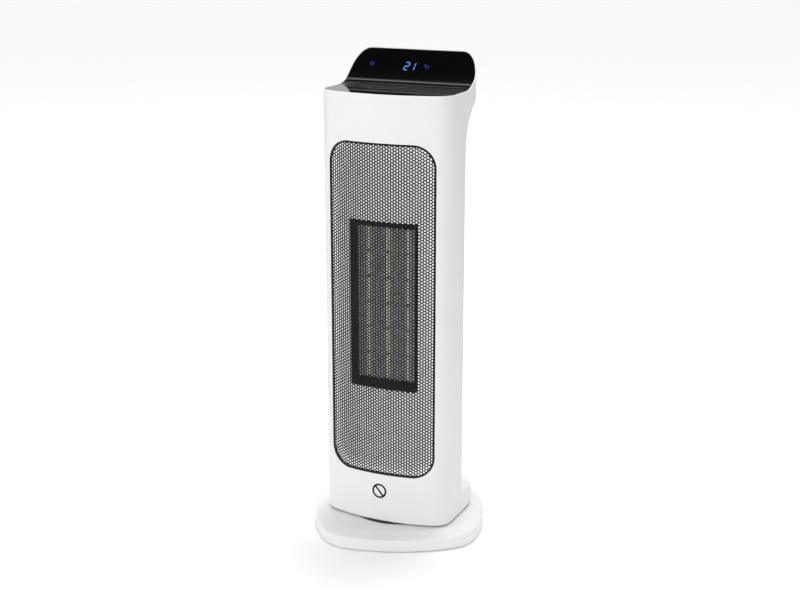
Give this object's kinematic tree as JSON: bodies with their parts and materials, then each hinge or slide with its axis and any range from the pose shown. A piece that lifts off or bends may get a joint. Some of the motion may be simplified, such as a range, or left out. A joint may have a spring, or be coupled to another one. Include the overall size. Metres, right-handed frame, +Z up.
{
  "type": "ceramic space heater",
  "caption": "Upright ceramic fan heater: white housing on a turning base, black perforated front grille, sloped gloss control panel.",
  "frame": {"origin": "on the floor, under the axis that the tower turns about on its base", "axes": "+Z up, -Y out of the tower's grille, +X to the right of someone who faces the grille"},
  "size_m": [0.2332, 0.2282, 0.62],
  "materials": {
    "white_plastic": "satin moulded",
    "grey_plastic": "satin moulded",
    "foot_rubber": "matte",
    "screw_steel": "zinc plated",
    "gear_plastic": "natural acetal",
    "filter_mesh": "fine net",
    "black_trim": "satin moulded",
    "black_mesh": "satin powder coat",
    "baffle_white": "satin paint",
    "black_heatproof": "matte glass-filled",
    "heater_ceramic": "matte",
    "heater_aluminium": "bare rolled",
    "terminal_brass": "stamped",
    "sheet_steel": "zinc plated",
    "black_gloss": "high gloss",
    "display": "display face",
    "circuit_board": "solder mask",
    "part_black": "satin moulded",
    "fan_plastic": "matte glass-filled"
  },
  "bodies": {
    "base": {"base_cover": "white_plastic", "base_plate": "grey_plastic", "rubber_feet": "foot_rubber", "base_screws": "screw_steel", "swivel_gear": "gear_plastic", "gear_screws": "screw_steel", "slide_ring": "gear_plastic"},
    "tower": {"front_housing": "white_plastic", "rear_housing": "white_plastic", "intake_grille": "white_plastic", "dust_filter": "filter_mesh", "mesh_frame": "black_trim", "front_mesh": "black_mesh", "baffle_plate": "baffle_white", "heater_frame": "black_heatproof", "heater_stones": "heater_ceramic", "heater_plates": "heater_aluminium", "heater_fins": "heater_aluminium", "heater_terminals": "terminal_brass", "thermal_cutout": "sheet_steel", "thermal_fuse": "heater_ceramic", "blower_casing": "black_heatproof", "blower_tongue": "black_heatproof", "lower_end_plate": "sheet_steel", "upper_end_plate": "sheet_steel", "blower_brackets": "sheet_steel", "fan_motor": "sheet_steel", "motor_screws": "screw_steel", "top_bearing": "terminal_brass", "swivel_motor": "sheet_steel", "swivel_motor_screws": "screw_steel", "tower_floor": "grey_plastic", "floor_screws": "screw_steel", "control_panel": "black_gloss", "display_module": "display", "control_board": "circuit_board", "power_board": "circuit_board", "power_relays": "part_black", "filter_capacitor": "part_black", "terminal_block": "part_black", "power_board_screws": "screw_steel", "housing_screws": "screw_steel", "temperature_sensor": "part_black", "tip_switch": "part_black", "switch_frame": "part_black", "cord_gland": "part_black"},
    "fan": {"fan_wheel": "fan_plastic", "fan_shaft": "screw_steel"},
    "pinion": {"drive_pinion": "gear_plastic"},
    "rocker": {"power_rocker": "part_black"}
  },
  "joints": [
    {"name": "swivel", "type": "hinge", "parent": "base", "child": "tower", "pos_m": [0, 0, 0.0244], "axis": [0, 0, 1], "range_deg": [-11, 59]},
    {"name": "fan_spin", "type": "hinge", "parent": "tower", "child": "fan", "pos_m": [0.014, 0, 0.31], "axis": [0, 0, 1], "continuous": true},
    {"name": "pinion_spin", "type": "hinge", "parent": "tower", "child": "pinion", "pos_m": [0, -0.036, 0.036], "axis": [0, 0, 1], "range_deg": [-36, 180]},
    {"name": "rocker_tilt", "type": "hinge", "parent": "tower", "child": "rocker", "pos_m": [-0.036, 0.054, 0.038], "axis": [0, 0, 1], "range_deg": [0, 16]}
  ],
  "couplings": [
    {"joint": "pinion_spin", "follows": "swivel", "ratio": 3}
  ]
}
